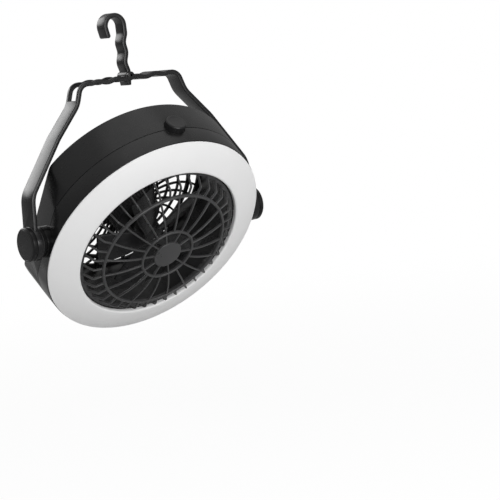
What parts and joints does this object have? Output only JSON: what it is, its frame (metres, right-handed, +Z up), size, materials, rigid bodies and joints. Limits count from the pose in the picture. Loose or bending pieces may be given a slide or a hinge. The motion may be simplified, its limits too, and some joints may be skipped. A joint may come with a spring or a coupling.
{
  "type": "portable camping fan",
  "caption": "Round drum with a caged fan and a light ring, tilting in a strap bail that hangs from a fold-away hook.",
  "frame": {"origin": "inside of the hook's crown, halfway across the hook's width, where the thing that carries the fan bears on it", "axes": "+Z up from the drum to the hook; +X along the drum's pivots, to the right as the light ring is faced; the ring faces -Y and looks down"},
  "size_m": [0.206, 0.1484, 0.241],
  "materials": {
    "housing": "satin",
    "diffuser": "satin",
    "light_board": "matte",
    "light_chip": "gloss",
    "grille": "satin",
    "impeller": "gloss",
    "steel": "satin",
    "motor": "satin",
    "cup": "satin",
    "bearing": "satin",
    "rubber": "matte",
    "strap": "satin",
    "button": "satin",
    "plunger": "satin",
    "board": "gloss",
    "cell": "satin",
    "lead_black": "matte"
  },
  "bodies": {
    "hook": {"hook": "strap"},
    "handle": {"handle": "strap", "hook_pin": "steel"},
    "drum": {"front_housing": "housing", "rear_housing": "housing", "diffuser": "diffuser", "light_board": "light_board", "light_chips": "light_chip", "front_grille": "grille", "rear_grille": "grille", "motor": "motor", "motor_cup": "cup", "motor_bearing": "bearing", "motor_screws": "steel", "housing_screws": "steel", "pivot_stud_left": "housing", "pivot_stud_right": "housing", "pivot_washers": "steel", "friction_washers": "rubber", "pivot_screws": "steel", "side_cap_left": "housing", "side_cap_right": "housing", "switch_body": "button", "control_board": "board", "battery_cells": "cell", "battery_tabs": "steel", "charge_board": "board", "charge_socket": "steel", "motor_leads": "lead_black", "power_leads": "lead_black"},
    "fan_wheel": {"impeller": "impeller", "motor_shaft": "steel"},
    "button": {"push_button": "button", "switch_plunger": "plunger"}
  },
  "joints": [
    {"name": "hook_fold", "type": "hinge", "parent": "hook", "child": "handle", "pos_m": [0.0068, 0, -0.04435], "axis": [0, 1, 0], "range_deg": [0, 92]},
    {"name": "drum_tilt", "type": "hinge", "parent": "handle", "child": "drum", "pos_m": [0.0054, 0, -0.15685], "axis": [1, 0, 0], "continuous": true},
    {"name": "wheel_spin", "type": "hinge", "parent": "drum", "child": "fan_wheel", "pos_m": [0.0054, -0.00391, -0.15997], "axis": [0, -0.7815, -0.6239], "continuous": true},
    {"name": "button_press", "type": "slide", "parent": "drum", "child": "button", "axis": [-0.0454, 0.6232, -0.7807], "range_m": [0, 0.0012], "stiffness_N_per_m": 600, "springref_m": -0.0004}
  ]
}
